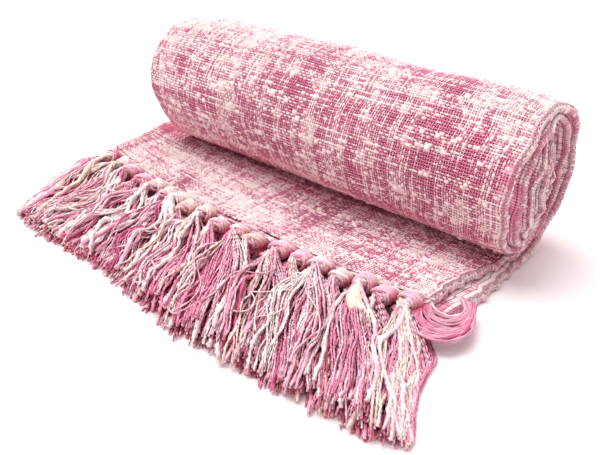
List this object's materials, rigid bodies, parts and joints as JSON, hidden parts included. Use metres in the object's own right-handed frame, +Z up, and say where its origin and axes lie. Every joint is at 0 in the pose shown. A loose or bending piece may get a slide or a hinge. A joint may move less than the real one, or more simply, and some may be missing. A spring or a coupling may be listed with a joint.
{
  "type": "folded and rolled sofa throw",
  "caption": "Fringed slub-cotton sofa throw, folded lengthwise and rolled up, with its knotted fringe laid out flat in front of the roll.",
  "frame": {"origin": "middle of the underside of the whole object's box", "axes": "+X along the roll, -Y towards the fringe, +Z up"},
  "size_m": [0.4124, 0.261, 0.1098],
  "materials": {
    "slub_cloth": "open plain weave of pink and cream slub cotton, matt",
    "fringe_yarn": "twisted pink and cream slub cotton yarn, matt"
  },
  "bodies": {
    "root": {"throw": "slub_cloth", "fringe_lowest": "fringe_yarn", "fringe_lower": "fringe_yarn", "fringe_upper": "fringe_yarn", "fringe_top": "fringe_yarn"}
  },
  "joints": []
}
